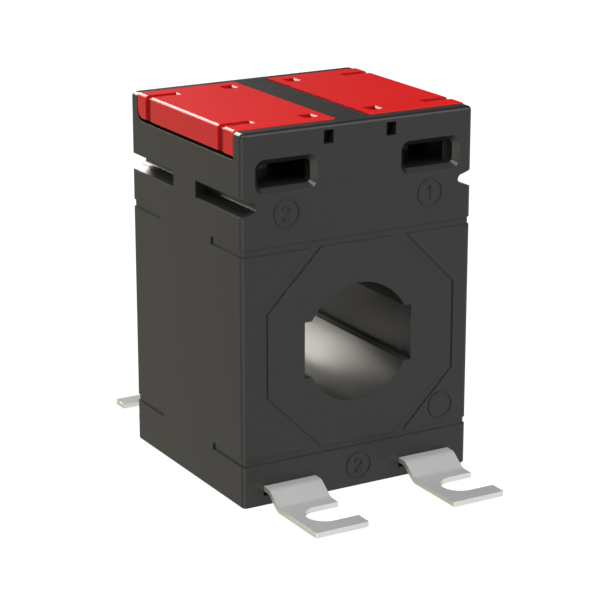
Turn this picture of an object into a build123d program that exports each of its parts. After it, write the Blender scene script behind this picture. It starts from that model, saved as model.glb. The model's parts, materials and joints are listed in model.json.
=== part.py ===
from build123d import *
import os
from math import asin, cos, sin, sqrt

# Window-type current transformer: a moulded box with a round and bar-shaped
# primary window, a toroidal core and winding around the window, two screw
# terminals under hinged covers and four bent sheet-metal feet.
#
# Frame: +X along the front face, +Y from the front face to the rear face,
# +Z up. The origin is the middle of the footprint on the mounting plane.
# All sizes are in millimetres.

# Primary window: a round conductor or a flat bar, inside a moulded tube
window_radius = 13.95
bar_slot_width = 28.2
bar_slot_height = 13.3
bore_tube_wall = 1.7

# Ring coil, from the bore tube outwards
running_gap = 0.15
touch = 0.02
film_thickness = 0.35
winding_thickness = 1.3
case_wall = 0.7
core_thickness = 4.06
tape_thickness = 0.3
winding_length = 42.4
winding_chamfer = 1.2
winding_gap = 12.0
tape_margin = 2.7
case_chamfer = 0.4
core_chamfer = 0.3
pad_thickness = 3.2
pad_margin = 0.9

# Feet: bent steel sheet with a U-slot, pushed into pockets of the base
sheet = 1.2
foot_width = 13.56
foot_from_side = 5.19
foot_underside_z = 0.65
foot_rise = 2.95
foot_bend_radius = 1.0
foot_tongue_length = 13.0
foot_ledge = 2.6
foot_slope_run = 6.8
foot_reach = 23.4
foot_slot_width = 8.9
foot_slot_from_tip = 4.4
foot_slot_web = 2.87
foot_corner_radius = 0.4
foot_catch_radius = 2.0
foot_catch_gap = 0.1
foot_pocket_gap = 0.06
foot_pocket_relief = 1.2
foot_pocket_relief_depth = 3.0

# Housing walls round the coil, and the plate that closes it from the rear
side_wall = 2.4
front_wall = 3.0
coil_side_gap = 0.68
coil_floor_gap = 0.88
coil_top_gap = 0.38
coil_corner_radius = 1.0
foot_roof = 2.6
lead_space_height = 4.3
lead_space_margin = 4.9
plate_thickness = 2.4
plate_ledge = 0.8
plate_gap = 0.1
corner_radius = 1.2
top_edge_radius = 1.0
bottom_edge_radius = 0.5

# Relief: an octagon and two side plates stand proud of a shallow band
octagon_apothem = 23.55
octagon_sides = 8
ring_width = 2.05
upper_band_width = 1.85
lower_band_width = 1.7
band_depth = 0.35
band_wrap = 14.6

# Tapered side slots, one from the front and one from the rear on each side
side_slot_drop = 3.95
side_slot_mouth = 4.1
side_slot_throat = 2.3
side_slot_depth = 3.75
side_slot_length = 21.7

# Terminal chambers
chamber_floor_thickness = 6.95
chamber_depth = 12.75
chamber_wall = 4.7
chamber_corner_radius = 1.2
end_wall = 3.55
side_wall_drop = 6.3
cover_seat_radius = 2.5

# Wire entries through the front and rear walls, with flared mouths
entry_width = 13.2
entry_height = 5.3
entry_radius = 1.1
entry_flare = 1.3

# Terminals: a bar let into the chamber floor, clamp plates, screws and leads
bar_width = 12.0
bar_thickness = 2.5
bar_proud = 0.1
bar_outer_gap = 0.6
bar_inner_gap = 3.1
bar_end_margin = 5.9
bar_corner_radius = 0.8
bar_chamfer = 0.3
clamp_y = 7.0
clamp_plate_size = 8.6
clamp_plate_thickness = 1.6
clamp_plate_radius = 0.4
clamp_plate_chamfer = 0.2
screw_radius = 1.95
screw_clearance = 0.05
screw_hole_gap = 0.4
screw_head_radius = 3.5
screw_head_height = 2.6
screw_head_chamfer = 0.45
screw_length = 6.3
screw_slot_width = 1.0
screw_slot_depth = 1.2
screw_cross_share = 0.62
lead_radius = 0.75
lead_hole_gap = 0.25
lead_bend_radius = 2.2
lead_from_gap = 3.1
lead_head_room = 1.2
lead_lift = 0.3
solder_radius = 1.6
solder_tip_radius = 0.5
solder_height = 0.9

# Cover hinges: pins that turn in square windows of the end walls
hinge_x = 8.1
hinge_drop = 2.85
hinge_floor_drop = 8.0
hinge_window_width = 2.5
hinge_window_height = 3.05
hinge_ear_room = 1.3
pin_radius = 1.2
pin_recess = 2.0
pin_chamfer = 0.25
ear_radius = 2.2
ear_thickness = 1.8

# Covers
cover_lip = 3.6
cover_rise = 0.25
cover_skirt_drop = 5.57
cover_wall = 1.8
cover_edge_radius = 0.8
cover_rim_radius = 0.25
cover_end_gap = 0.15
cover_swing_gap = 0.12
groove_from_face = 8.0
groove_width = 2.7
groove_run = 8.0
groove_depth = 0.55
groove_radius = 0.4
pocket_from_lip = 3.95
pocket_from_face = 8.6
pocket_size = 3.5
pocket_depth = 0.9
pocket_shallow_depth = 0.3
rib_gap = 0.3
rib_thickness = 1.1
rib_length = 12.0
rib_y = 12.0
rib_drop = 0.85

# Radii of the coil's layers about the window's axis
bar_slot_reach = sqrt(bar_slot_width**2 + bar_slot_height**2) / 2
bore_tube_radius = max(window_radius, bar_slot_reach) + bore_tube_wall
film_inner_radius = bore_tube_radius + running_gap
winding_inner_radius = film_inner_radius + film_thickness + running_gap
case_inner_radius = winding_inner_radius + winding_thickness + running_gap
core_inner_radius = case_inner_radius + case_wall + running_gap
core_outer_radius = core_inner_radius + core_thickness
case_outer_radius = core_outer_radius + running_gap + case_wall
winding_outer_radius = case_outer_radius + running_gap + winding_thickness
tape_outer_radius = winding_outer_radius + touch + tape_thickness

# Outside of the housing, built up round the coil
coil_half = tape_outer_radius + coil_side_gap
half_width = coil_half + side_wall
width = 2 * half_width
depth = front_wall + 2 * pad_thickness + winding_length + plate_thickness
half_depth = depth / 2
foot_flat_top_z = foot_underside_z + sheet
foot_step_z = foot_flat_top_z + foot_rise
coil_floor_z = foot_step_z + foot_roof
window_z = coil_floor_z + coil_floor_gap + tape_outer_radius
coil_ceiling_z = window_z + tape_outer_radius + coil_top_gap
lead_ceiling_z = coil_ceiling_z + lead_space_height
chamber_floor_z = lead_ceiling_z + chamber_floor_thickness
height = chamber_floor_z + chamber_depth

# Places along the window's axis
coil_front_y = front_wall - half_depth
plate_inner_y = half_depth - plate_thickness
coil_middle_y = (coil_front_y + plate_inner_y) / 2
winding_half = winding_length / 2
case_half = winding_half - winding_thickness - running_gap
core_half = case_half - case_wall - running_gap
tape_half = winding_half - tape_margin
wall_face_y = half_depth - end_wall
cover_end_y = wall_face_y - cover_end_gap

# Places in the head of the housing
chamber_outer_x = half_width - chamber_wall
entry_x = chamber_outer_x - bar_outer_gap - bar_width / 2
chamber_inner_x = entry_x - bar_width / 2 - bar_inner_gap
entry_z = chamber_floor_z + entry_height / 2
side_slot_z = chamber_floor_z - side_slot_drop
side_wall_top_z = height - side_wall_drop
bar_bottom_z = chamber_floor_z + bar_proud - bar_thickness
bar_top_z = bar_bottom_z + bar_thickness
bar_length = 2 * (clamp_y + bar_end_margin)
head_seat_z = bar_top_z + clamp_plate_thickness + 2 * touch
lead_start_x = winding_gap / 2 + lead_from_gap
lead_level_z = lead_ceiling_z - lead_radius - lead_head_room
lead_space_half = entry_x + lead_space_margin
foot_x = half_width - foot_from_side - foot_width / 2

# Places of the hinges and covers
hinge_z = height - hinge_drop
hinge_floor_z = height - hinge_floor_drop
cover_top_z = height + cover_rise
cover_inner_x = hinge_x - cover_lip
cover_skirt_z = height - cover_skirt_drop
hinge_swing_radius = sqrt(cover_lip**2 + (cover_top_z - hinge_z) ** 2) + cover_swing_gap
bridge_waist_x = hinge_x - hinge_swing_radius
bridge_top_x = hinge_x - sqrt(hinge_swing_radius**2 - hinge_drop**2)
swing_outer_x = max(chamber_inner_x, hinge_x + ear_radius) + hinge_ear_room
groove_inner_x = half_width - groove_run
pocket_x = cover_inner_x + pocket_from_lip

terminals = {"s1": 1, "s2": -1}
ends = {"front": -1, "rear": 1}

os.makedirs("parts", exist_ok=True)


def front_plane(y):
    """A plane parallel to the front face, its normal towards the viewer in front."""
    return Plane.XZ.offset(-y)


def window_outline():
    """The round window with its bar-shaped notches, in the sketch being built."""
    with Locations((0, window_z)):
        Circle(window_radius)
        Rectangle(bar_slot_width, bar_slot_height)


def octagon(apothem, mode=Mode.ADD):
    """An upright octagon around the window, in the sketch being built."""
    half_side = 180 / octagon_sides
    with Locations((0, window_z)):
        RegularPolygon(apothem, octagon_sides, major_radius=False, rotation=half_side, mode=mode)


def cut_relief_face(y, direction):
    """Cuts the octagon ring of the shallow relief into the face at y."""
    with BuildSketch(front_plane(y)) as ring:
        octagon(octagon_apothem + ring_width)
        with Locations((0, window_z)):
            Rectangle(width, 2 * octagon_apothem, mode=Mode.INTERSECT)
        octagon(octagon_apothem, mode=Mode.SUBTRACT)
    extrude(ring.sketch, amount=band_depth * direction, mode=Mode.SUBTRACT)


def cut_relief_band(low_z, high_z):
    """Cuts one level band that runs across the face and wraps onto the sides."""
    with BuildSketch(Plane.XY.offset(low_z)) as band:
        Rectangle(width + 2 * touch, depth + 2 * touch)
        RectangleRounded(width - 2 * band_depth, depth - 2 * band_depth, corner_radius - band_depth,
                         mode=Mode.SUBTRACT)
        Rectangle(width + 2 * touch, depth - 2 * band_wrap, mode=Mode.SUBTRACT)
    extrude(band.sketch, amount=high_z - low_z, mode=Mode.SUBTRACT)


def cut_relief():
    """Cuts the whole relief into the part being built."""
    for y in (-half_depth, half_depth):
        cut_relief_face(y, 1 if y > 0 else -1)
    octagon_top_z = window_z + octagon_apothem
    octagon_bottom_z = window_z - octagon_apothem
    cut_relief_band(octagon_top_z, octagon_top_z + upper_band_width)
    cut_relief_band(octagon_bottom_z - lower_band_width, octagon_bottom_z)


def coil_outline(margin):
    """The coil chamber's outline: a square with a raised lead space."""
    side = coil_half
    with BuildLine() as outline:
        FilletPolyline(
            (-side - margin, coil_floor_z - margin),
            (side + margin, coil_floor_z - margin),
            (side + margin, coil_ceiling_z + margin),
            (lead_space_half + margin, coil_ceiling_z + margin),
            (lead_space_half + margin, lead_ceiling_z + margin),
            (-lead_space_half - margin, lead_ceiling_z + margin),
            (-lead_space_half - margin, coil_ceiling_z + margin),
            (-side - margin, coil_ceiling_z + margin),
            radius=coil_corner_radius + margin,
            close=True,
        )
    make_face(outline.edges())


# The moulded housing is one piece, open to the rear for the coil
with BuildPart() as housing:
    with BuildSketch():
        RectangleRounded(width, depth, corner_radius)
    extrude(amount=height)
    fillet(housing.faces().sort_by(Axis.Z)[-1].edges(), radius=top_edge_radius)
    fillet(housing.faces().sort_by(Axis.Z)[0].edges(), radius=bottom_edge_radius)

    # Coil chamber with the bore tube standing in its middle
    with BuildSketch(front_plane(coil_front_y)):
        coil_outline(0)
        with Locations((0, window_z)):
            Circle(bore_tube_radius, mode=Mode.SUBTRACT)
    extrude(amount=coil_front_y - plate_inner_y, mode=Mode.SUBTRACT)
    with BuildSketch(front_plane(plate_inner_y)):
        coil_outline(plate_ledge)
    extrude(amount=-plate_thickness, mode=Mode.SUBTRACT)
    with BuildSketch(front_plane(-half_depth)):
        window_outline()
    extrude(amount=-depth, mode=Mode.SUBTRACT)

    cut_relief()

    # Side slots, tapered towards a round nose
    for side in (-1, 1):
        for end in (-1, 1):
            with BuildSketch(front_plane(end * half_depth)):
                mouth_x = side * (half_width + touch)
                nose_x = side * (half_width - side_slot_depth + side_slot_throat / 2)
                mouth_half = side_slot_mouth / 2
                throat_half = side_slot_throat / 2
                with BuildLine():
                    low = Line((mouth_x, side_slot_z - mouth_half), (nose_x, side_slot_z - throat_half))
                    high = Line((mouth_x, side_slot_z + mouth_half), (nose_x, side_slot_z + throat_half))
                    ThreePointArc(low @ 1, (side * (half_width - side_slot_depth), side_slot_z), high @ 1)
                    Line(low @ 0, high @ 0)
                make_face()
            extrude(amount=side_slot_length * end, mode=Mode.SUBTRACT)

    # Terminal chambers, the cover seats above them and the wire entries
    for side in terminals.values():
        with BuildSketch(Plane.XY.offset(chamber_floor_z)):
            with Locations((side * (chamber_inner_x + chamber_outer_x) / 2, 0)):
                RectangleRounded(chamber_outer_x - chamber_inner_x, 2 * wall_face_y, chamber_corner_radius)
        extrude(until=Until.LAST, mode=Mode.SUBTRACT)
        with BuildSketch(Plane.XY.offset(bar_bottom_z)):
            with Locations((side * entry_x, 0)):
                RectangleRounded(bar_width + 2 * running_gap, bar_length + 2 * running_gap,
                                 bar_corner_radius)
        extrude(amount=bar_thickness, mode=Mode.SUBTRACT)
        with BuildSketch(Plane.YZ.offset(side * (chamber_outer_x - chamber_corner_radius))) as seat:
            with Locations((0, side_wall_top_z)):
                Rectangle(2 * wall_face_y, height + touch - side_wall_top_z, align=(Align.CENTER, Align.MIN))
            seat_corners = seat.vertices().group_by(Axis.Y)[0].sort_by(Axis.X)
            fillet(seat_corners[0 if side > 0 else -1], radius=cover_seat_radius)
        extrude(amount=side * (chamber_wall + 2 * chamber_corner_radius), mode=Mode.SUBTRACT)

        # Room for the hinge ears and for the cover's lip as it swings down
        with BuildSketch(front_plane(-wall_face_y)):
            with BuildLine():
                waist = (side * bridge_waist_x, hinge_z)
                brim = (side * bridge_top_x, height)
                turn = asin(hinge_drop / hinge_swing_radius) / 2
                middle_x = side * (hinge_x - hinge_swing_radius * cos(turn))
                ThreePointArc(waist, (middle_x, hinge_z + hinge_swing_radius * sin(turn)), brim)
                Polyline(
                    brim,
                    (side * bridge_top_x, height + touch),
                    (side * swing_outer_x, height + touch),
                    (side * swing_outer_x, hinge_floor_z),
                    (side * bridge_waist_x, hinge_floor_z),
                    waist,
                )
            make_face()
        extrude(amount=-2 * wall_face_y, mode=Mode.SUBTRACT)

        for end in ends.values():
            # Wire entry with its flared mouth
            with BuildSketch(front_plane(end * half_depth)):
                with Locations((side * entry_x, entry_z)):
                    RectangleRounded(entry_width, entry_height, entry_radius)
            extrude(amount=end * (end_wall + touch), mode=Mode.SUBTRACT)
            with BuildSketch(front_plane(end * (half_depth + touch))):
                with Locations((side * entry_x, entry_z)):
                    RectangleRounded(entry_width + 2 * entry_flare, entry_height + 2 * entry_flare,
                                     entry_radius + entry_flare)
            with BuildSketch(front_plane(end * (half_depth - entry_flare))):
                with Locations((side * entry_x, entry_z)):
                    RectangleRounded(entry_width, entry_height, entry_radius)
            loft(mode=Mode.SUBTRACT)

            # Square window for the hinge pin
            with BuildSketch(front_plane(end * half_depth)):
                with Locations((side * hinge_x, hinge_z)):
                    Rectangle(hinge_window_width, hinge_window_height)
            extrude(amount=end * (end_wall + touch), mode=Mode.SUBTRACT)

            # Pocket for a foot, with a relief under the sheet at its mouth
            pocket_top = foot_step_z + foot_pocket_gap
            pocket_width = foot_width + 2 * foot_pocket_gap
            with BuildSketch(front_plane(end * half_depth)):
                with Locations((side * foot_x, pocket_top)):
                    Rectangle(pocket_width, sheet + 2 * foot_pocket_gap, align=(Align.CENTER, Align.MAX))
            extrude(amount=end * (foot_tongue_length + foot_pocket_gap), mode=Mode.SUBTRACT)
            with BuildSketch(front_plane(end * half_depth)):
                with Locations((side * foot_x, pocket_top)):
                    Rectangle(pocket_width, sheet + foot_pocket_relief, align=(Align.CENTER, Align.MAX))
            extrude(amount=end * foot_pocket_relief_depth, mode=Mode.SUBTRACT)

            # Blind hole below the clamp screw
            with BuildSketch(Plane.XY.offset(bar_bottom_z)):
                with Locations((side * entry_x, end * clamp_y)):
                    Circle(screw_radius + screw_hole_gap)
            extrude(amount=head_seat_z - screw_length - screw_hole_gap - bar_bottom_z, mode=Mode.SUBTRACT)

        # Hole for the lead that comes up from the winding
        with BuildSketch(Plane.XY.offset(lead_ceiling_z - touch)):
            with Locations((side * entry_x, 0)):
                Circle(lead_radius + lead_hole_gap)
        extrude(amount=bar_bottom_z - lead_ceiling_z + 2 * touch, mode=Mode.SUBTRACT)

    # Bosses in the pocket ceilings that drop into the holes of the feet
    for side in (-1, 1):
        for end in (-1, 1):
            with BuildSketch(Plane.XY.offset(foot_step_z - sheet)):
                with Locations((side * foot_x, end * (half_depth - foot_tongue_length / 2))):
                    Circle(foot_catch_radius - foot_catch_gap)
            extrude(amount=sheet + 2 * foot_pocket_gap)
housing.part.label = "housing"
export_step(housing.part, "parts/housing.step")

# Plate that closes the coil chamber, flush with the rear face
with BuildPart() as rear_plate:
    with BuildSketch(front_plane(plate_inner_y + touch)):
        coil_outline(plate_ledge - plate_gap)
    extrude(amount=-(plate_thickness - touch))
    with BuildSketch(front_plane(plate_inner_y)):
        window_outline()
    extrude(amount=-plate_thickness, mode=Mode.SUBTRACT)
    cut_relief()
rear_plate.part.label = "rear_plate"
export_step(rear_plate.part, "parts/rear_plate.step")


def ring_section(inner, outer, low_y, high_y, bevel=0.0):
    """A ring's cross-section beside the window's axis, with bevelled corners if asked."""
    with BuildSketch(Plane.XY.offset(window_z)) as section:
        with Locations(((inner + outer) / 2, (low_y + high_y) / 2)):
            Rectangle(outer - inner, high_y - low_y)
        if bevel:
            chamfer(section.vertices(), length=bevel)
    return section.sketch


window_axis = Axis((0, 0, window_z), (0, 1, 0))

# Strip-wound ring core
with BuildPart() as core:
    add(ring_section(core_inner_radius, core_outer_radius, coil_middle_y - core_half,
                     coil_middle_y + core_half, core_chamfer))
    revolve(axis=window_axis)
core.part.label = "core"
export_step(core.part, "parts/core.step")

# Insulating case: two cups that meet around the middle of the core
for name, end in ends.items():
    with BuildPart() as core_case:
        with BuildSketch(Plane.XY.offset(window_z)):
            with BuildLine():
                outer_y = coil_middle_y + end * case_half
                inner_y = outer_y - end * case_wall
                parting_y = coil_middle_y + end * touch
                Polyline(
                    (case_inner_radius, parting_y),
                    (case_inner_radius, outer_y - end * case_chamfer),
                    (case_inner_radius + case_chamfer, outer_y),
                    (case_outer_radius - case_chamfer, outer_y),
                    (case_outer_radius, outer_y - end * case_chamfer),
                    (case_outer_radius, parting_y),
                    (case_outer_radius - case_wall, parting_y),
                    (case_outer_radius - case_wall, inner_y),
                    (case_inner_radius + case_wall, inner_y),
                    (case_inner_radius + case_wall, parting_y),
                    close=True,
                )
            make_face()
        revolve(axis=window_axis)
    core_case.part.label = f"core_case_{name}"
    export_step(core_case.part, f"parts/core_case_{name}.step")

# Secondary winding: one layer of enamelled wire around the cased core, with
# a gap at the top where its two ends leave
with BuildPart() as winding:
    add(ring_section(winding_inner_radius, winding_outer_radius, coil_middle_y - winding_half,
                     coil_middle_y + winding_half, winding_chamfer))
    revolve(axis=window_axis)
    add(ring_section(case_inner_radius - running_gap, case_outer_radius + running_gap,
                     coil_middle_y - case_half - running_gap, coil_middle_y + case_half + running_gap))
    revolve(axis=window_axis, mode=Mode.SUBTRACT)
    with BuildSketch(front_plane(coil_front_y)):
        with BuildLine():
            Polyline(
                (0, window_z),
                (winding_gap / 2, window_z + winding_outer_radius + touch),
                (-winding_gap / 2, window_z + winding_outer_radius + touch),
                close=True,
            )
        make_face()
    extrude(amount=coil_front_y - plate_inner_y, mode=Mode.SUBTRACT)
winding.part.label = "winding"
export_step(winding.part, "parts/winding.step")

# Tape round the winding, film on the bore tube and soft pads at both ends
pad_inner_radius = winding_inner_radius + pad_margin
pad_outer_radius = winding_outer_radius - pad_margin
wraps = {
    "winding_tape": (winding_outer_radius + touch, tape_outer_radius, coil_middle_y - tape_half,
                     coil_middle_y + tape_half),
    "bore_film": (film_inner_radius, film_inner_radius + film_thickness, coil_front_y + touch,
                  plate_inner_y - touch),
    "coil_pad_front": (pad_inner_radius, pad_outer_radius, coil_front_y + touch,
                       coil_middle_y - winding_half - touch),
    "coil_pad_rear": (pad_inner_radius, pad_outer_radius, coil_middle_y + winding_half + touch,
                      plate_inner_y - touch),
}
for name, (inner, outer, low_y, high_y) in wraps.items():
    with BuildPart() as wrap:
        add(ring_section(inner, outer, low_y, high_y))
        revolve(axis=window_axis)
    wrap.part.label = name
    export_step(wrap.part, f"parts/{name}.step")

# Terminals: a brass bar in the chamber floor, two clamp plates and screws,
# and the lead that is soldered into the middle of the bar
for name, side in terminals.items():
    bar_middle = side * entry_x
    with BuildPart() as terminal_bar:
        with BuildSketch(Plane.XY.offset(bar_bottom_z)):
            with Locations((bar_middle, 0)):
                RectangleRounded(bar_width, bar_length, bar_corner_radius)
            with Locations((bar_middle, -clamp_y), (bar_middle, clamp_y)):
                Circle(screw_radius + screw_clearance, mode=Mode.SUBTRACT)
            with Locations((bar_middle, 0)):
                Circle(lead_radius + running_gap, mode=Mode.SUBTRACT)
        extrude(amount=bar_thickness)
        chamfer(terminal_bar.faces().sort_by(Axis.Z)[-1].outer_wire().edges(), length=bar_chamfer)
    terminal_bar.part.label = f"terminal_bar_{name}"
    export_step(terminal_bar.part, f"parts/terminal_bar_{name}.step")

    for end_name, end in ends.items():
        with BuildPart() as clamp_plate:
            with BuildSketch(Plane.XY.offset(bar_top_z + touch)):
                with Locations((bar_middle, end * clamp_y)):
                    RectangleRounded(clamp_plate_size, clamp_plate_size, clamp_plate_radius)
                    Circle(screw_radius + screw_clearance, mode=Mode.SUBTRACT)
            extrude(amount=clamp_plate_thickness)
            underside = clamp_plate.faces().sort_by(Axis.Z)[0]
            chamfer(underside.outer_wire().edges(), length=clamp_plate_chamfer)
        clamp_plate.part.label = f"clamp_plate_{name}_{end_name}"
        export_step(clamp_plate.part, f"parts/clamp_plate_{name}_{end_name}.step")

        with BuildPart() as clamp_screw:
            with BuildSketch(Plane.XY.offset(head_seat_z - screw_length)):
                with Locations((bar_middle, end * clamp_y)):
                    Circle(screw_radius)
            extrude(amount=screw_length)
            with BuildSketch(Plane.XY.offset(head_seat_z)):
                with Locations((bar_middle, end * clamp_y)):
                    Circle(screw_head_radius)
            extrude(amount=screw_head_height)
            chamfer(clamp_screw.faces().sort_by(Axis.Z)[-1].edges(), length=screw_head_chamfer)
            chamfer(clamp_screw.faces().sort_by(Axis.Z)[0].edges(), length=screw_head_chamfer)
            with BuildSketch(Plane.XY.offset(head_seat_z + screw_head_height)):
                with Locations((bar_middle, end * clamp_y)):
                    Rectangle(2 * screw_head_radius, screw_slot_width)
                    Rectangle(screw_slot_width, screw_cross_share * 2 * screw_head_radius)
            extrude(amount=-screw_slot_depth, mode=Mode.SUBTRACT)
        clamp_screw.part.label = f"clamp_screw_{name}_{end_name}"
        export_step(clamp_screw.part, f"parts/clamp_screw_{name}_{end_name}.step")

    with BuildPart() as lead:
        start_z = window_z + sqrt(tape_outer_radius**2 - lead_start_x**2) + lead_lift
        start = (side * lead_start_x, 0, start_z)
        with BuildLine():
            FilletPolyline(
                start,
                (side * lead_start_x, 0, lead_level_z),
                (bar_middle, 0, lead_level_z),
                (bar_middle, 0, bar_top_z + solder_height / 2),
                radius=lead_bend_radius,
            )
        with BuildSketch(Plane(origin=start, z_dir=(0, 0, 1))):
            Circle(lead_radius)
        sweep()
        with BuildSketch(Plane.XZ):
            with BuildLine():
                Polyline(
                    (bar_middle, bar_top_z + touch),
                    (bar_middle + solder_radius, bar_top_z + touch),
                    (bar_middle + solder_tip_radius, bar_top_z + solder_height),
                    (bar_middle, bar_top_z + solder_height),
                    close=True,
                )
            make_face()
        revolve(axis=Axis((bar_middle, 0, 0), (0, 0, 1)))
    lead.part.label = f"lead_{name}"
    export_step(lead.part, f"parts/lead_{name}.step")

# Hinged covers: a shallow L-shaped shell that wraps over the side wall, the
# left one being the right one turned half a turn
for name, side in terminals.items():
    with BuildPart() as cover:
        with BuildSketch(front_plane(-cover_end_y)):
            with BuildLine():
                Polyline(
                    (side * cover_inner_x, cover_top_z),
                    (side * half_width, cover_top_z),
                    (side * half_width, cover_skirt_z),
                    (side * (half_width - cover_wall), cover_skirt_z),
                    (side * (half_width - cover_wall), cover_top_z - cover_wall),
                    (side * cover_inner_x, cover_top_z - cover_wall),
                    close=True,
                )
            make_face()
        extrude(amount=-2 * cover_end_y)
        outer_edges = cover.edges().filter_by(Axis.Y).filter_by_position(
            Axis.X, side * half_width - touch, side * half_width + touch)
        fillet(outer_edges.sort_by(Axis.Z)[-1], radius=cover_edge_radius)
        skirt_corners = cover.edges().filter_by(Axis.X).group_by(Axis.Z)[0].sort_by(Axis.Y)
        fillet(skirt_corners[0 if side > 0 else -1], radius=cover_seat_radius - cover_end_gap)
        fillet(cover.faces().sort_by(Axis.Z)[-1].edges().filter_by(Axis.X), radius=cover_rim_radius)

        for end in ends.values():
            # Groove over the top and down the skirt
            groove_y = end * (half_depth - groove_from_face - groove_width / 2)
            with BuildSketch(Plane.XZ.offset(-groove_y + groove_width / 2)):
                with BuildLine():
                    FilletPolyline(
                        (side * groove_inner_x, cover_top_z + groove_depth),
                        (side * groove_inner_x, cover_top_z - groove_depth),
                        (side * (half_width - groove_depth), cover_top_z - groove_depth),
                        (side * (half_width - groove_depth), cover_skirt_z - groove_depth),
                        radius=groove_radius,
                    )
                    Polyline(
                        (side * (half_width - groove_depth), cover_skirt_z - groove_depth),
                        (side * (half_width + groove_depth), cover_skirt_z - groove_depth),
                        (side * (half_width + groove_depth), cover_top_z + groove_depth),
                        (side * groove_inner_x, cover_top_z + groove_depth),
                    )
                make_face()
            extrude(amount=-groove_width, mode=Mode.SUBTRACT)

            # Pocket that lets a blade lift the lid, deepest at its outer wall
            pocket_y = end * (half_depth - pocket_from_face)
            with BuildSketch(Plane.XZ.offset(-pocket_y + pocket_size / 2)):
                with BuildLine():
                    Polyline(
                        (side * pocket_x - pocket_size / 2, cover_top_z + touch),
                        (side * pocket_x + pocket_size / 2, cover_top_z + touch),
                        (side * pocket_x + pocket_size / 2, cover_top_z - pocket_depth),
                        (side * pocket_x - pocket_size / 2, cover_top_z - pocket_shallow_depth),
                        close=True,
                    )
                make_face()
            extrude(amount=-pocket_size, mode=Mode.SUBTRACT)

            # Hinge ear with the hole for its pin
            ear_plane = front_plane(end * cover_end_y)
            with BuildSketch(ear_plane):
                with Locations((side * hinge_x, hinge_z)):
                    Circle(ear_radius)
                    Rectangle(2 * ear_radius, cover_top_z - cover_wall / 2 - hinge_z,
                              align=(Align.CENTER, Align.MIN))
            extrude(amount=end * ear_thickness)
            with BuildSketch(ear_plane):
                with Locations((side * hinge_x, hinge_z)):
                    Circle(pin_radius + touch)
            extrude(amount=end * ear_thickness, mode=Mode.SUBTRACT)

        # Ribs that locate the cover inside the side wall
        rib_x = side * (chamber_outer_x - rib_gap - rib_thickness / 2)
        rib_bottom_z = side_wall_top_z - rib_drop
        with BuildSketch(Plane.XY.offset(rib_bottom_z)):
            with Locations((rib_x, -rib_y), (rib_x, rib_y)):
                Rectangle(rib_thickness, rib_length)
        extrude(amount=cover_top_z - cover_wall / 2 - rib_bottom_z)
    cover.part.label = f"cover_{name}"
    export_step(cover.part, f"parts/cover_{name}.step")

    # Hinge pins, pressed into the ears
    for end_name, end in ends.items():
        with BuildPart() as hinge_pin:
            with BuildSketch(front_plane(end * (cover_end_y - ear_thickness))):
                with Locations((side * hinge_x, hinge_z)):
                    Circle(pin_radius)
            extrude(amount=-end * (half_depth - pin_recess - cover_end_y + ear_thickness))
            chamfer(hinge_pin.edges().filter_by(GeomType.CIRCLE), length=pin_chamfer)
        hinge_pin.part.label = f"hinge_pin_{name}_{end_name}"
        export_step(hinge_pin.part, f"parts/hinge_pin_{name}_{end_name}.step")

# Feet: a tongue in the housing, a step down and a flat with a U-slot that
# opens to the right on the front pair and to the left on the rear pair
for side_name, side in {"left": -1, "right": 1}.items():
    for end_name, end in ends.items():
        with BuildPart() as foot:
            with BuildSketch(Plane.YZ.offset(side * foot_x - foot_width / 2)):
                with BuildLine() as top_line:
                    FilletPolyline(
                        (end * (half_depth - foot_tongue_length), foot_step_z),
                        (end * (half_depth + foot_ledge), foot_step_z),
                        (end * (half_depth + foot_slope_run), foot_flat_top_z),
                        (end * (half_depth + foot_reach), foot_flat_top_z),
                        radius=foot_bend_radius + sheet,
                    )
                    offset(amount=sheet, side=Side.RIGHT if end > 0 else Side.LEFT)
                make_face()
            extrude(amount=foot_width)
            # U-slot
            open_side = -end
            slot_middle = end * (half_depth + foot_reach - foot_slot_from_tip - foot_slot_width / 2)
            slot_end = side * foot_x - open_side * (foot_width / 2 - foot_slot_web - foot_slot_width / 2)
            with BuildSketch():
                with Locations((slot_end, slot_middle)):
                    Circle(foot_slot_width / 2)
                    Rectangle(foot_width, foot_slot_width,
                              align=(Align.MIN if open_side > 0 else Align.MAX, Align.CENTER))
            extrude(amount=foot_step_z, mode=Mode.SUBTRACT)
            with BuildSketch():
                with Locations((side * foot_x, end * (half_depth - foot_tongue_length / 2))):
                    Circle(foot_catch_radius)
            extrude(amount=foot_step_z, mode=Mode.SUBTRACT)
            tip_corners = foot.edges().filter_by(Axis.Z).group_by(Axis.Y)[-1 if end > 0 else 0]
            fillet(tip_corners, radius=foot_corner_radius)
        foot.part.label = f"foot_{end_name}_{side_name}"
        export_step(foot.part, f"parts/foot_{end_name}_{side_name}.step")
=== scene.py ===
"""Dresses a window-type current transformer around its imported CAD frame.

The housing, covers, feet and terminals keep their CAD shapes and get procedural
finishes. Small raised marks are added to the front face and sloping ends to the
recesses of the covers, and the object stands on a pale studio floor in front of
the camera.
"""
from __future__ import annotations

import json
import logging
import math
from dataclasses import dataclass, field
from enum import Enum
from typing import Any, Iterable, Sequence

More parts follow.
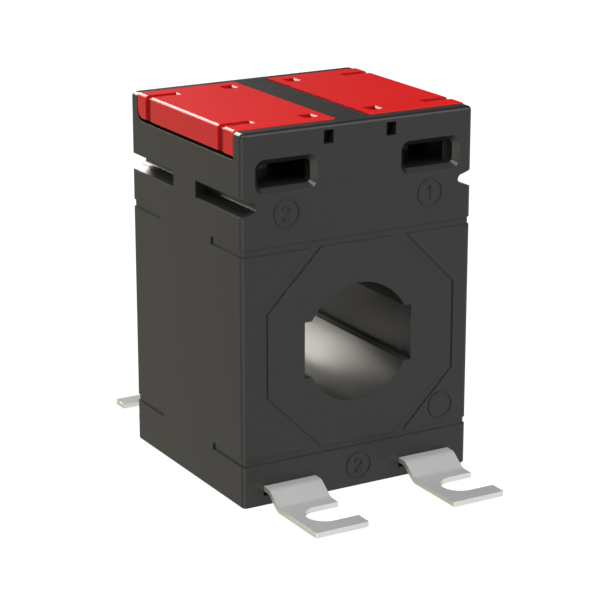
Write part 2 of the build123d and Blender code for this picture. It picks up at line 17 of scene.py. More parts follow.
import bmesh
import bpy
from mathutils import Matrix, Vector

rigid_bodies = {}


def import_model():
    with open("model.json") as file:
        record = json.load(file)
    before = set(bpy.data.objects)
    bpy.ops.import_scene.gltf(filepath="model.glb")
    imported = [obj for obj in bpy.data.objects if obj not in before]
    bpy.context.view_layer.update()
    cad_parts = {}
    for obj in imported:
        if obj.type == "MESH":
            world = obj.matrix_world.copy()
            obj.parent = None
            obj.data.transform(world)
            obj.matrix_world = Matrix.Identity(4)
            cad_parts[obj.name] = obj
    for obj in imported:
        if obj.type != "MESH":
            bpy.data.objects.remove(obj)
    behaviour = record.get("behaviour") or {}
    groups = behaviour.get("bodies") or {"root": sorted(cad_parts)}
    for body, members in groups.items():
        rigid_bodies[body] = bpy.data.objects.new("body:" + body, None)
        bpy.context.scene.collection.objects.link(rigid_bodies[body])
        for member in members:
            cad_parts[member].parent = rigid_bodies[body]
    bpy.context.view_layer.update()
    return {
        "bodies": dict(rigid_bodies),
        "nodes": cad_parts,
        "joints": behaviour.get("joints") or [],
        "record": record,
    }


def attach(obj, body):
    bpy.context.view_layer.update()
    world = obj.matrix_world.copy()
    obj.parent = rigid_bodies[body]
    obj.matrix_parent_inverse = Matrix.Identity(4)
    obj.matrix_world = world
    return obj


log = logging.getLogger("current_transformer")

MM = 0.001
MM_PER_METRE = 1000.0
Colour = tuple[float, float, float]
Point = tuple[float, float]


class Wire:
    """A shader socket that takes part in Python expressions.

    Numbers stay numbers until they meet a Wire, which then adds one Math node.
    """

    def __init__(self, shade: "Nodes", socket: bpy.types.NodeSocket) -> None:
        """Wraps one output socket of a node tree under construction."""
        self.shade = shade
        self.socket = socket

    def _math(self, operation: str, *terms: "Wire | float") -> "Wire":
        """Adds one Math node over the terms and returns its result."""
        return self.shade.node("ShaderNodeMath", {"operation": operation}, dict(enumerate(terms)))

    def __add__(self, other: "Wire | float") -> "Wire":
        """Sum."""
        return self._math("ADD", self, other)

    def __radd__(self, other: float) -> "Wire":
        """Sum with a number on the left."""
        return self._math("ADD", other, self)

    def __sub__(self, other: "Wire | float") -> "Wire":
        """Difference."""
        return self._math("SUBTRACT", self, other)

    def __rsub__(self, other: float) -> "Wire":
        """A number less this value."""
        return self._math("SUBTRACT", other, self)

    def __mul__(self, other: "Wire | float") -> "Wire":
        """Product."""
        return self._math("MULTIPLY", self, other)

    def __rmul__(self, other: float) -> "Wire":
        """Product with a number on the left."""
        return self._math("MULTIPLY", other, self)

    def __truediv__(self, other: "Wire | float") -> "Wire":
        """Quotient."""
        return self._math("DIVIDE", self, other)

    def __pow__(self, power: float) -> "Wire":
        """Power."""
        return self._math("POWER", self, power)

    def __abs__(self) -> "Wire":
        """Absolute value."""
        return self._math("ABSOLUTE", self)

    def sine(self) -> "Wire":
        """Sine of a value in radians."""
        return self._math("SINE", self)

    def fraction(self) -> "Wire":
        """Fractional part."""
        return self._math("FRACT", self)

    def angle_from(self, other: "Wire") -> "Wire":
        """Angle of the point (other, self) about the origin."""
        return self._math("ARCTAN2", self, other)

    def ramp(self, low: float, high: float, start: float = 0.0, end: float = 1.0) -> "Wire":
        """Runs smoothly from start to end while this value goes from low to high.

        Args:
            low: value at which the ramp starts.
            high: value at which the ramp ends.
            start: result below low.
            end: result above high.

        Returns:
            The eased result.
        """
        settings = {"interpolation_type": "SMOOTHSTEP"}
        return self.shade.node("ShaderNodeMapRange", settings, {0: self, 1: low, 2: high, 3: start, 4: end})


class Nodes:
    """A node tree under construction."""

    def __init__(self, tree: bpy.types.NodeTree, output: str, shader: str) -> None:
        """Empties the tree and adds its output and its one shader.

        Args:
            tree: the tree to fill.
            output: the type of its output node.
            shader: the type of its shader node.
        """
        self.tree = tree
        tree.nodes.clear()
        self.shader = tree.nodes.new(shader)
        tree.links.new(self.shader.outputs[0], tree.nodes.new(output).inputs[0])

    def node(
        self, kind: str, settings: dict[str, Any], inputs: dict[int | str, Any], output: int | str = 0
    ) -> Wire:
        """Adds any node.

        Args:
            kind: the node's type name.
            settings: attributes to set before its sockets are filled.
            inputs: value or Wire for each socket, by number or name.
            output: the socket that is wanted.

        Returns:
            The wanted output.
        """
        made = self.tree.nodes.new(kind)
        for key, value in settings.items():
            setattr(made, key, value)
        for key, value in inputs.items():
            self.feed(made.inputs[key], value)
        return Wire(self, made.outputs[output])

    def feed(self, socket: bpy.types.NodeSocket, value: Any) -> None:
        """Links a Wire to a socket, or sets a plain value on it."""
        if isinstance(value, Wire):
            self.tree.links.new(value.socket, socket)
        elif isinstance(value, tuple) and len(value) == 3 and socket.type == "RGBA":
            socket.default_value = (*value, 1.0)
        else:
            socket.default_value = value

    def blend(self, factor: "Wire | float", low: Any, high: Any) -> Wire:
        """Mixes two colours."""
        return self.node("ShaderNodeMix", {"data_type": "RGBA"}, {0: factor, 6: low, 7: high}, output=2)

    def tone(self, colour: Colour, factor: Wire) -> Wire:
        """Multiplies a colour by a grey factor."""
        scale = self.node("ShaderNodeCombineXYZ", {}, {0: factor, 1: factor, 2: factor})
        return self.node("ShaderNodeVectorMath", {"operation": "MULTIPLY"}, {0: scale, 1: colour})


class Shade(Nodes):
    """One material under construction."""

    def __init__(self, name: str) -> None:
        """Starts a material with a principled shader.

        Args:
            name: the material's name.
        """
        self.material = bpy.data.materials.new(name)
        self.material.use_nodes = True
        super().__init__(self.material.node_tree, "ShaderNodeOutputMaterial", "ShaderNodeBsdfPrincipled")
        self.place = self.node("ShaderNodeTexCoord", {}, {}, output="Object")

    def axes(self) -> tuple[Wire, Wire, Wire]:
        """The three coordinates of the shaded point, in millimetres."""
        parts = self.node("ShaderNodeSeparateXYZ", {}, {0: self.place}).socket.node
        return tuple(Wire(self, parts.outputs[i]) * MM_PER_METRE for i in range(3))

    def noise(self, size: float, detail: float = 2.0, stretch: Sequence[float] = (1, 1, 1)) -> Wire:
        """Noise between 0 and 1.

        Args:
            size: the size of its blobs, in millimetres.
            detail: octaves.
            stretch: factors on the three coordinates.

        Returns:
            The noise value.
        """
        scale = tuple(MM_PER_METRE / size * factor for factor in stretch)
        spot = self.node("ShaderNodeMapping", {}, {0: self.place, 3: scale})
        return self.node("ShaderNodeTexNoise", {}, {"Vector": spot, "Scale": 1.0, "Detail": detail})

    def bump(self, height: Wire, depth: float, under: Wire | None = None) -> Wire:
        """A bumped normal.

        Args:
            height: height between 0 and 1.
            depth: the full height, in millimetres.
            under: a normal to start from.

        Returns:
            The normal.
        """
        inputs = {"Height": height, "Distance": depth * MM, "Strength": 1.0}
        if under is not None:
            inputs["Normal"] = under
        return self.node("ShaderNodeBump", {}, inputs)

    def rounded(self, radius: float) -> Wire:
        """A normal that rounds sharp edges over a radius in millimetres."""
        return self.node("ShaderNodeBevel", {"samples": 4}, {"Radius": radius * MM})

    def finish(self, **sockets: Any) -> bpy.types.Material:
        """Fills the principled shader's sockets and returns the material."""
        for name, value in sockets.items():
            self.feed(self.shader.inputs[name.replace("_", " ")], value)
        return self.material


@dataclass(frozen=True)
class Lobe:
    """A soft patch of the sky that is lighter or darker than the rest."""

    towards: tuple[float, float, float]
    inner_deg: float
    outer_deg: float
    radiance: Colour


@dataclass(frozen=True)
class SoftSky:
    """The studio's walls and ceiling as light from each direction."""

    radiance: Colour = (0.28, 0.28, 0.28)
    lobes: tuple[Lobe, ...] = (
        Lobe((0.50, -0.82, 0.25), 20.0, 60.0, (0.65, 0.65, 0.65)),
        Lobe((0.48, -0.67, 0.57), 8.0, 22.0, (2.4, 2.45, 2.5)),
        Lobe((0.75, 0.63, 0.21), 12.0, 30.0, (0.02, 0.02, 0.02)),
        Lobe((0.48, 0.38, 0.79), 18.0, 32.0, (0.02, 0.02, 0.02)),
        Lobe((0.0, 0.0, -1.0), 84.0, 92.0, (0.75, 0.75, 0.75)),
        Lobe((-0.72, 0.60, -0.35), 30.0, 80.0, (0.52, 0.50, 0.43)),
        Lobe((-0.83, -0.48, -0.29), 15.0, 42.0, (1.25, 1.22, 1.08)),
        Lobe((0.86, 0.44, -0.26), 12.0, 28.0, (0.03, 0.03, 0.03)),
        Lobe((0.48, 0.25, -0.84), 10.0, 28.0, (0.05, 0.05, 0.05)),
    )

    def build(self) -> None:
        """Makes the world, which the camera itself sees as plain white."""
        world = bpy.data.worlds.new("studio")
        world.use_nodes = True
        bpy.context.scene.world = world
        nodes = Nodes(world.node_tree, "ShaderNodeOutputWorld", "ShaderNodeBackground")
        way = nodes.node("ShaderNodeTexCoord", {}, {}, output="Generated")
        light: Any = (*self.radiance, 1.0)
        for lobe in self.lobes:
            aim = tuple(Vector(lobe.towards).normalized())
            settings = {"operation": "DOT_PRODUCT"}
            cosine = nodes.node("ShaderNodeVectorMath", settings, {0: way, 1: aim}, output="Value")
            outer = math.cos(math.radians(lobe.outer_deg))
            inner = math.cos(math.radians(lobe.inner_deg))
            light = nodes.blend(cosine.ramp(outer, inner), light, (*lobe.radiance, 1.0))
        seen = nodes.node("ShaderNodeLightPath", {}, {}, output="Is Camera Ray")
        nodes.feed(nodes.shader.inputs[0], nodes.blend(seen, light, (1.0, 1.0, 1.0, 1.0)))


@dataclass(frozen=True)
class Recess:
    """A recess on all four quarters of the object, coloured darker in place of shade.

    Its place is given by distances from the middle planes, in millimetres.
    """

    x: Point
    y: Point
    shade: float = 0.42


@dataclass(frozen=True)
class Ledge:
    """A narrow level ledge with a matt finish, on all four quarters of the object.

    Its place is given by its level and by distances from the middle planes.
    """

    level: float
    x: Point
    y: Point
    matter: float = 0.55
    below: float = 0.12
    above: float = 0.04
    level_soft: float = 0.02
    side_soft: float = 0.05


@dataclass(frozen=True)
class MouldedPlastic:
    """Injection-moulded plastic with a fine spark-eroded grain."""

    name: str
    colour: Colour
    roughness: float
    specular: float
    grain: float = 0.10
    grain_depth: float = 0.004
    mottle: float = 0.06
    edge: float = 0.12
    square_within: float = 0.0
    bore_radius: float = 0.0
    bore_axis_z: float = 35.2
    bore_roughness: float = 0.0
    bar_half_height: float = 6.65
    cloud_size: float = 14.0
    flow_size: float = 5.0
    flow_share: float = 0.6
    cloud_roughness: float = 0.08
    grain_roughness: float = 0.05
    recesses: tuple[Recess, ...] = ()
    ledges: tuple[Ledge, ...] = ()

    def build(self) -> bpy.types.Material:
        """Builds the material.

        Returns:
            The finished material.
        """
        shade = Shade(self.name)
        fine = shade.noise(self.grain, 1.0)
        cloud = shade.noise(self.cloud_size, 3.0)
        flow = shade.noise(self.flow_size, 2.0, (0.35, 0.35, 1.0))
        tint = 1.0 + (cloud - 0.5) * self.mottle + (flow - 0.5) * (self.mottle * self.flow_share)
        x, y, z = shade.axes()
        for recess in self.recesses:
            inside = self.between(abs(x), recess.x) * self.between(abs(y), recess.y)
            tint = tint * (1.0 - inside * (1.0 - recess.shade))
        base = shade.rounded(self.edge)
        if self.square_within:
            plain = shade.node("ShaderNodeNewGeometry", {}, {}, output="Normal")
            outside = abs(x).ramp(self.square_within - 0.1, self.square_within + 0.1)
            ways = {0: outside, 4: plain, 5: base}
            base = shade.node("ShaderNodeMix", {"data_type": "VECTOR"}, ways, output=1)
        normal = shade.bump(fine, self.grain_depth, base)
        roughness = self.roughness + (cloud - 0.5) * self.cloud_roughness
        roughness = roughness + (fine - 0.5) * self.grain_roughness
        if self.bore_roughness:
            up = z - self.bore_axis_z
            radius = (x * x + up * up) ** 0.5
            inside = radius.ramp(self.bore_radius + 0.2, self.bore_radius + 0.5, 1.0, 0.0)
            arc = abs(up).ramp(self.bar_half_height, self.bar_half_height + 0.2)
            roughness = roughness + inside * arc * (self.bore_roughness - self.roughness)
        for ledge in self.ledges:
            heights = (ledge.level - ledge.below, ledge.level + ledge.above)
            near = self.between(z, heights, ledge.level_soft)
            near = near * self.between(abs(x), ledge.x, ledge.side_soft)
            near = near * self.between(abs(y), ledge.y, ledge.side_soft)
            roughness = roughness + near * ledge.matter
        return shade.finish(
            Base_Color=shade.tone(self.colour, tint),
            Roughness=roughness,
            Specular_IOR_Level=self.specular,
            Normal=normal,
        )

    @staticmethod
    def between(value: Wire, ends: Point, soft: float = 0.15) -> Wire:
        """One between two values and nothing outside them, with soft ends."""
        rise = value.ramp(ends[0] - soft, ends[0] + soft)
        return rise * value.ramp(ends[1] - soft, ends[1] + soft, 1.0, 0.0)


@dataclass(frozen=True)
class SheetSteel:
    """Galvanised steel sheet with faint rolling lines, and shear-cut edges of bare steel painted near-white
    as a highlight.
    """

    name: str
    colour: Colour
    roughness: float
    metallic: float = 1.0
    cut_edge_highlight_colour: Colour = (0.92, 0.92, 0.88)
    rolling_size: float = 0.9
    rolling_depth: float = 0.006
    edge: float = 0.12

    def build(self) -> bpy.types.Material:
        """Builds the material.

        Returns:
            The finished material.
        """
        shade = Shade(self.name)
        lines = shade.noise(self.rolling_size, 3.0, (1.0, 0.06, 1.0))
        cloud = shade.noise(6.0, 2.0)
        speck = shade.noise(0.35, 1.0)
        tint = 1.0 + (cloud - 0.5) * 0.10 + (lines - 0.5) * 0.08
        facing = shade.node("ShaderNodeTexCoord", {}, {}, output="Normal")
        upright = shade.node("ShaderNodeSeparateXYZ", {}, {0: facing}, output=2)
        # Upright faces are the sheet's shear-cut edges: bare steel, painted near-white and fully metallic as
        # a highlight.
        cut_edge_highlight = abs(upright).ramp(0.25, 0.45, 1.0, 0.0)
        return shade.finish(
            Base_Color=shade.tone(shade.blend(cut_edge_highlight, self.colour, self.cut_edge_highlight_colour), tint),
            Metallic=cut_edge_highlight * (1.0 - self.metallic) + self.metallic,
            Roughness=self.roughness + (lines - 0.5) * 0.12 + (speck - 0.5) * 0.06,
            Normal=shade.bump(lines, self.rolling_depth, shade.rounded(self.edge)),
        )


@dataclass(frozen=True)
class PlatedMetal:
    """Plated terminal metal, with a thread round the screw shanks."""

    name: str
    colour: Colour
    roughness: float
    thread_pitch: float = 0.7
    thread_radius: float = 2.05
    thread_depth: float = 0.30
    screw_x: float = 18.7
    screw_y: float = 7.0
    edge: float = 0.08

    def build(self) -> bpy.types.Material:
        """Builds the material.

        Returns:
            The finished material.
        """
        shade = Shade(self.name)
        x, y, z = shade.axes()
        across = abs(x) - self.screw_x
        along = abs(y) - self.screw_y
        radius = (across * across + along * along) ** 0.5
        turn = along.angle_from(across) / (2.0 * math.pi)
        crest = abs((z / self.thread_pitch + turn).fraction() - 0.5) * 2.0
        shank = radius.ramp(self.thread_radius, self.thread_radius + 0.05, 1.0, 0.0)
        cloud = shade.noise(1.8, 2.0)
        return shade.finish(
            Base_Color=shade.tone(self.colour, 1.0 + (cloud - 0.5) * 0.12 - shank * crest * 0.25),
            Metallic=1.0,
            Roughness=self.roughness + (cloud - 0.5) * 0.12,
            Normal=shade.bump(crest * shank, self.thread_depth, shade.rounded(self.edge)),
        )


@dataclass(frozen=True)
class WoundRing:
    """A ring about the window's axis with wires or strip edges round it."""

    name: str
    colour: Colour
    dark: Colour
    roughness: float
    metallic: float
    axis_z: float
    wires_round: float = 0.0
    layer: float = 0.0
    relief: float = 0.2

    def build(self) -> bpy.types.Material:
        """Builds the material.

        Returns:
            The finished material.
        """
        shade = Shade(self.name)
        x, _, z = shade.axes()
        up = z - self.axis_z
        if self.wires_round:
            wave = (up.angle_from(x) * self.wires_round).sine() * 0.5 + 0.5
        else:
            wave = ((x * x + up * up) ** 0.5 * (2.0 * math.pi / self.layer)).sine() * 0.5 + 0.5
        cloud = shade.noise(3.0, 2.0)
        return shade.finish(
            Base_Color=shade.blend(wave * 0.8 + cloud * 0.2, self.dark, self.colour),
            Metallic=self.metallic,
            Roughness=self.roughness + (cloud - 0.5) * 0.1,
            Normal=shade.bump(wave, self.relief),
        )


class Face(Enum):
    """The two end faces, with their direction along Y."""

    FRONT = -1
    REAR = 1


def finished_piece(mesh: bmesh.types.BMesh, name: str, material: bpy.types.Material) -> bpy.types.Object:
    """Turns a finished mesh into an object of the scene.

    Args:
        mesh: the mesh, which is freed.
        name: the piece's name.
        material: the material for all its faces.

    Returns:
        The piece.
    """
    bmesh.ops.recalc_face_normals(mesh, faces=mesh.faces)
    data = bpy.data.meshes.new(name)
    mesh.to_mesh(data)
    mesh.free()
    piece = bpy.data.objects.new(name, data)
    bpy.context.collection.objects.link(piece)
    data.materials.append(material)
    return piece


@dataclass
class RaisedMarks:
    """Thin raised rings and plain digits moulded on the front face."""

    material: bpy.types.Material
    half_depth: float = 27.1
    ring_radius: float = 3.15
    ring_width: float = 0.42
    height: float = 0.26
    sink: float = 0.05
    digit_height: float = 3.0
    digit_width: float = 0.50
    crest_share: float = 0.30
    ring_steps: int = 64

    DIGITS = {
        "1": [[(-0.18, 0.30), (0.06, 0.5), (0.06, -0.5)]],
        "2": [
            [
                (-0.30, 0.24), (-0.26, 0.38), (-0.14, 0.48), (0.02, 0.5), (0.18, 0.46),
                (0.29, 0.34), (0.30, 0.18), (0.22, 0.04), (0.08, -0.10), (-0.10, -0.24),
                (-0.24, -0.38), (-0.32, -0.5), (0.33, -0.5),
            ]
        ],
    }

    def ring(self) -> list[list[Point]]:
        """The ring's closed outline about its own middle."""
        step = 2.0 * math.pi / self.ring_steps
        points = [
            (self.ring_radius * math.cos(i * step), self.ring_radius * math.sin(i * step))
            for i in range(self.ring_steps)
        ]
        return [[*points, points[0]]]

    def digit(self, character: str) -> list[list[Point]]:
        """The strokes of one digit about its own middle, in millimetres."""
        high = self.digit_height
        return [[(u * high, v * high) for u, v in stroke] for stroke in self.DIGITS[character]]

    def sweep(self, mesh: bmesh.types.BMesh, path: Sequence[Point], width: float, at: Point) -> None:
        """Sweeps a low trapezoid ridge along a flat path on the front face.

        Args:
            mesh: the mesh that takes the ridge.
            path: the middle line, closed if its ends meet.
            width: the ridge's width at its foot.
            at: the middle of the mark, as X and Z.
        """
        closed = math.dist(path[0], path[-1]) < 1e-6
        nodes = list(path[:-1] if closed else path)
        count = len(nodes)
        crest = width * self.crest_share
        foot = width / 2
        profile = ((-foot, -self.sink), (-crest, self.height), (crest, self.height), (foot, -self.sink))
        rows = []
        for i, node in enumerate(nodes):
            before = nodes[(i - 1) % count] if closed or i else node
            after = nodes[(i + 1) % count] if closed or i < count - 1 else node
            way = Vector(after) - Vector(before)
            way.normalize()
            rows.append([self.spot(node, way, offset, lift, at) for offset, lift in profile])
        verts = [[mesh.verts.new(spot) for spot in row] for row in rows]
        for i in range(count if closed else count - 1):
            low, high = verts[i], verts[(i + 1) % count]
            for a in range(4):
                b = (a + 1) % 4
                mesh.faces.new((low[a], low[b], high[b], high[a]))
        if not closed:
            mesh.faces.new(verts[0])
            mesh.faces.new(list(reversed(verts[-1])))

    def spot(
        self, node: Point, way: Vector, offset: float, lift: float, at: Point
    ) -> tuple[float, float, float]:
        """Places one corner of the ridge on the front face, in metres."""
        u = node[0] - way.y * offset
        v = node[1] + way.x * offset
        return ((at[0] + u) * MM, Face.FRONT.value * (self.half_depth + lift) * MM, (at[1] + v) * MM)

    def build(self, name: str, at: Point, text: str = "") -> bpy.types.Object:
        """Builds one mark.

        Args:
            name: the piece's name.
            at: the middle of the mark, as X and Z in millimetres.
            text: the digit inside the ring, if any.

        Returns:
            The mark's object.
        """
        mesh = bmesh.new()
        for path in self.ring():
            self.sweep(mesh, path, self.ring_width, at)
        for character in text:
            for stroke in self.digit(character):
                self.sweep(mesh, stroke, self.digit_width, at)
        piece = finished_piece(mesh, name, self.material)
        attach(piece, "base")
        return piece


@dataclass
class Housing:
    """The moulded box, its rear plate and the marks on the front face."""

    nodes: tuple[str, ...] = ("housing", "rear_plate")
    plastic: MouldedPlastic = MouldedPlastic(
        "dark_grey_plastic", (0.017, 0.0169, 0.0166), 0.28, 0.50,
        edge=0.10,
        bore_radius=13.95,
        bore_roughness=0.40,
        ledges=(
            Ledge(9.95, (29.5, 40.0), (12.5, 40.0)),
            Ledge(58.75, (29.5, 40.0), (12.5, 40.0)),
            Ledge(67.85, (26.0, 40.0), (5.4, 40.0)),
            Ledge(71.97, (26.0, 40.0), (5.4, 40.0)),
            Ledge(28.55, (12.0, 14.3), (-1.0, 26.9)),
        ),
    )
    front_marks: dict[str, tuple[Point, str]] = field(
        default_factory=lambda: {
            "mark_front_terminal_left": ((-18.7, 67.7), "2"),
            "mark_front_terminal_right": ((18.7, 67.7), "1"),
            "mark_front_primary": ((0.3, 5.1), "2"),
            "mark_front_plain": ((22.5, 15.95), ""),
        }
    )

    def build(self, studio: "Dresser") -> None:
        """Dresses the box and adds its marks."""
        material = self.plastic.build()
        studio.dress(self.nodes, material)
        marks = RaisedMarks(material)
        for name, (at, text) in self.front_marks.items():
            studio.report(marks.build(name, at, text))


@dataclass
class Covers:
    """The two hinged terminal covers."""

    nodes: tuple[str, ...] = ("cover_s1", "cover_s2")
    plastic: MouldedPlastic = MouldedPlastic(
        "red_cover_plastic", (0.66, 0.006, 0.006), 0.24, 0.27,
        grain=0.14,
        grain_depth=0.003,
        mottle=0.05,
        edge=0.18,
        square_within=5.2,
        recesses=(Recess((22.0, 40.0), (16.4, 19.1)), Recess((6.7, 10.2), (16.75, 20.25))),
    )
    top_z: float = 86.75
    ramp_rise: float = 0.40
    pocket_drop: float = 0.75
    groove_drop: float = 0.5
    sink: float = 0.03
    pocket_x: float = 8.45
    pocket_half: float = 1.75
    pocket_y: float = 18.5
    groove_x: float = 22.0
    groove_half: float = 1.35
    groove_y: float = 17.75

    def build(self, studio: "Dresser") -> None:
        """Dresses the covers and adds the end ramps of their recesses."""
        material = self.plastic.build()
        studio.dress(self.nodes, material)
        for node, side in zip(self.nodes, (1, -1)):
            for face in Face:
                place = face.name.lower()
                pocket_end = side * self.pocket_x + self.pocket_half
                groove_end = side * self.groove_x
                pocket_y = face.value * self.pocket_y
                groove_y = face.value * self.groove_y
                spots = {
                    "pocket_ramp": (pocket_end, -1, pocket_y, self.pocket_half, self.pocket_drop),
                    "groove_ramp": (groove_end, side, groove_y, self.groove_half, self.groove_drop),
                }
                for kind, spot in spots.items():
                    studio.report(self.ramp(f"{kind}_{node}_{place}", material, node, *spot))

    def ramp(
        self,
        name: str,
        material: bpy.types.Material,
        body: str,
        at_x: float,
        way: int,
        at_y: float,
        half: float,
        drop: float,
    ) -> bpy.types.Object:
        """Builds the sloping end of one recess.

        Args:
            name: the piece's name.
            material: the cover's material.
            body: the cover that it rides on.
            at_x: the recess's end wall.
            way: the direction along X in which the ramp falls.
            at_y: the middle of the recess along Y.
            half: half the recess's width.
            drop: depth of the ramp's foot.

        Returns:
            The ramp.
        """
        wall = at_x - way * self.sink
        foot = at_x + way * self.ramp_rise
        profile = ((wall, 0.0), (foot, -self.ramp_rise), (foot, -drop - self.sink), (wall, -drop - self.sink))
        mesh = bmesh.new()
        rings = [
            [mesh.verts.new((x * MM, (at_y + offset) * MM, (self.top_z + lift) * MM)) for x, lift in profile]
            for offset in (-half - self.sink, half + self.sink)
        ]
        mesh.faces.new(rings[0])
        mesh.faces.new(list(reversed(rings[1])))
        for a in range(4):
            b = (a + 1) % 4
            mesh.faces.new((rings[0][a], rings[0][b], rings[1][b], rings[1][a]))
        piece = finished_piece(mesh, name, material)
        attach(piece, body)
        return piece


@dataclass
class Feet:
    """The four bent sheet-metal feet."""

    nodes: tuple[str, ...] = ("foot_front_left", "foot_front_right", "foot_rear_left", "foot_rear_right")
    steel: SheetSteel = SheetSteel("galvanised_sheet", (0.39, 0.395, 0.39), 0.50, 0.20)

    def build(self, studio: "Dresser") -> None:
        """Dresses the feet."""
        studio.dress(self.nodes, self.steel.build())


@dataclass
class Terminals:
    """Terminal bars, clamp plates, clamp screws and leads."""

    bar: PlatedMetal = PlatedMetal("nickel_brass", (0.50, 0.45, 0.36), 0.35)
    clamp: PlatedMetal = PlatedMetal("zinc_steel", (0.55, 0.56, 0.58), 0.32)
    # The hinge pins are real parts, but their near-black colour is painted shade for the deep hinge windows.
    pin: PlatedMetal = PlatedMetal("black_oxide_pin", (0.02, 0.02, 0.02), 0.45)
    wire: PlatedMetal = PlatedMetal("tinned_lead", (0.62, 0.40, 0.28), 0.38)

    def build(self, studio: "Dresser") -> None:
        """Dresses every terminal piece."""
        studio.dress([n for n in studio.nodes if n.startswith("terminal_bar_")], self.bar.build())
        studio.dress([n for n in studio.nodes if n.startswith("clamp_")], self.clamp.build())
        studio.dress([n for n in studio.nodes if n.startswith("hinge_pin_")], self.pin.build())
        studio.dress([n for n in studio.nodes if n.startswith("lead_")], self.wire.build())


@dataclass
class Coil:
    """The core, its case, the winding and its wraps, all inside the box."""

    axis_z: float = 35.2

    def build(self, studio: "Dresser") -> None:
        """Dresses every piece of the coil."""
        copper = WoundRing(
            "enamelled_copper", (0.62, 0.22, 0.08), (0.16, 0.04, 0.02), 0.3, 0.9, self.axis_z,
            wires_round=180.0,
        )
        strip = WoundRing(
            "wound_strip", (0.42, 0.43, 0.45), (0.14, 0.14, 0.15), 0.4, 1.0, self.axis_z,
            layer=0.3,
            relief=0.03,
        )
        case = MouldedPlastic("natural_polyamide", (0.60, 0.58, 0.50), 0.5, 0.5)
        tape = MouldedPlastic("yellow_tape", (0.75, 0.52, 0.06), 0.35, 0.5)
        film = MouldedPlastic("amber_film", (0.5, 0.36, 0.14), 0.25, 0.5)
        foam = MouldedPlastic("dark_foam", (0.03, 0.03, 0.03), 0.9, 0.2, grain=0.6, grain_depth=0.25)
        studio.dress(["winding"], copper.build())
        studio.dress(["core"], strip.build())
        studio.dress(["core_case_front", "core_case_rear"], case.build())
        studio.dress(["winding_tape"], tape.build())
        studio.dress(["bore_film"], film.build())
        studio.dress(["coil_pad_front", "coil_pad_rear"], foam.build())


class Dresser:
    """Puts materials on CAD nodes and reports what it did."""

    def __init__(self, frame: dict[str, Any]) -> None:
        """Keeps the frame's nodes."""
        self.nodes: dict[str, bpy.types.Object] = frame["nodes"]

    def dress(self, names: Iterable[str], material: bpy.types.Material) -> None:
        """Gives the named CAD nodes one material.

        Args:
            names: CAD node names.
            material: the material for all their faces.
        """
        for name in names:
            for slot in self.nodes[name].material_slots:
                slot.material = material
            if not self.nodes[name].material_slots:
                self.nodes[name].data.materials.append(material)
            log.info("%s wears %s", name, material.name)

    def report(self, piece: bpy.types.Object) -> None:
        """Logs one added piece with its face count."""
        log.info("%s has %d faces", piece.name, len(piece.data.polygons))


@dataclass(frozen=True)
class Softbox:
    """A soft light panel that faces the object from some distance."""

    name: str
    azimuth_deg: float
    elevation_deg: float
    distance: float
    wide: float
    high: float
    radiance: float
    colour: Colour = (1.0, 1.0, 1.0)
    matt: bool = True
    gloss: bool = True
    aim_height: float = 0.04

    def build(self) -> None:
        """Hangs the light."""
        data = bpy.data.lights.new(self.name, "AREA")
        data.shape = "RECTANGLE"
        data.size = self.wide
        data.size_y = self.high
        data.energy = math.pi * self.wide * self.high * self.radiance
        data.color = self.colour
        piece = bpy.data.objects.new(self.name, data)
        piece.visible_diffuse = self.matt
        piece.visible_glossy = self.gloss
        turn, lift = math.radians(self.azimuth_deg), math.radians(self.elevation_deg)
        way = Vector((math.sin(turn) * math.cos(lift), math.cos(turn) * math.cos(lift), math.sin(lift)))
        piece.location = way * self.distance + Vector((0.0, 0.0, self.aim_height))
        piece.rotation_euler = way.to_track_quat("Z", "Y").to_euler()
        bpy.context.collection.objects.link(piece)


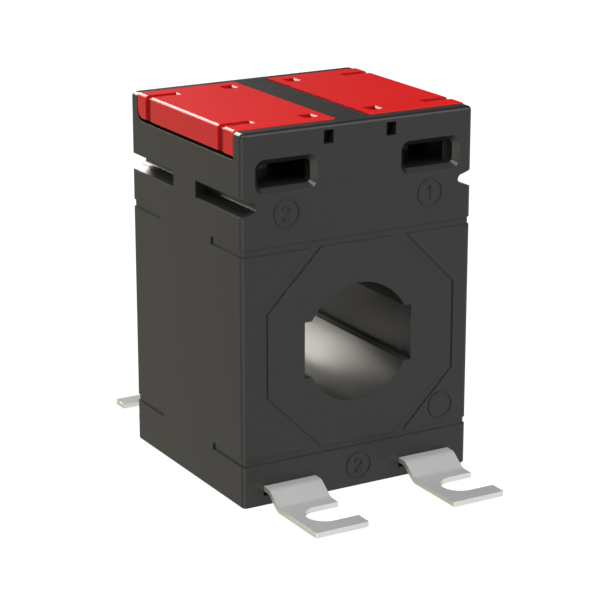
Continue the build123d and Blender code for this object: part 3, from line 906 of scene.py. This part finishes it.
@dataclass
class Studio:
    """The camera at the photograph's angle, the floor and the lights."""

    camera_at: tuple[float, float, float] = (-0.25164, -0.43673, 0.19165)
    azimuth_deg: float = 29.975
    elevation_deg: float = 16.971
    lens: float = 133.44
    sensor: float = 36.0
    floor_size: float = 8.0
    floor_drop: float = 0.0002
    near_clip: float = 0.01
    far_clip: float = 50.0
    softboxes: tuple[Softbox, ...] = (
        Softbox("key", -137.0, 45.0, 1.2, 0.50, 0.50, 6.0),
        Softbox("back", -11.0, 31.5, 1.3, 1.15, 0.64, 10.5, (1.0, 0.955, 0.87), matt=False),
        Softbox("top", 180.0, 78.0, 1.5, 0.90, 0.90, 6.6, gloss=False),
    )

    def camera(self) -> None:
        """Sets the camera with the photograph's perspective."""
        data = bpy.data.cameras.new("camera")
        data.lens = self.lens
        data.sensor_width = self.sensor
        data.clip_start = self.near_clip
        data.clip_end = self.far_clip
        piece = bpy.data.objects.new("camera", data)
        piece.location = self.camera_at
        piece.rotation_euler = (math.radians(90.0 - self.elevation_deg), 0.0, math.radians(-self.azimuth_deg))
        bpy.context.collection.objects.link(piece)
        bpy.context.scene.camera = piece

    def floor(self) -> None:
        """Lays a pale matt floor under the mounting plane."""
        mesh = bmesh.new()
        bmesh.ops.create_grid(mesh, x_segments=1, y_segments=1, size=self.floor_size / 2)
        data = bpy.data.meshes.new("floor")
        mesh.to_mesh(data)
        mesh.free()
        shade = Shade("pale_floor")
        shade.finish(
            Base_Color=(0.10, 0.10, 0.10),
            Roughness=0.9,
            Specular_IOR_Level=0.0,
            Emission_Color=(1.0, 1.0, 1.0),
            Emission_Strength=1.0,
        )
        data.materials.append(shade.material)
        piece = bpy.data.objects.new("floor", data)
        piece.location.z = -self.floor_drop
        piece.visible_diffuse = False
        piece.visible_glossy = False
        bpy.context.collection.objects.link(piece)

    def build(self) -> None:
        """Sets up the whole studio."""
        bpy.context.scene.view_settings.view_transform = "Standard"
        self.camera()
        self.floor()
        SoftSky().build()
        for softbox in self.softboxes:
            softbox.build()


def main() -> None:
    """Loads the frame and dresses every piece."""
    logging.basicConfig(level=logging.INFO, format="%(name)s: %(message)s")
    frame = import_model()
    studio = Dresser(frame)
    for part in (Housing(), Covers(), Feet(), Terminals(), Coil()):
        part.build(studio)
    Studio().build()


if __name__ == "__main__":
    main()
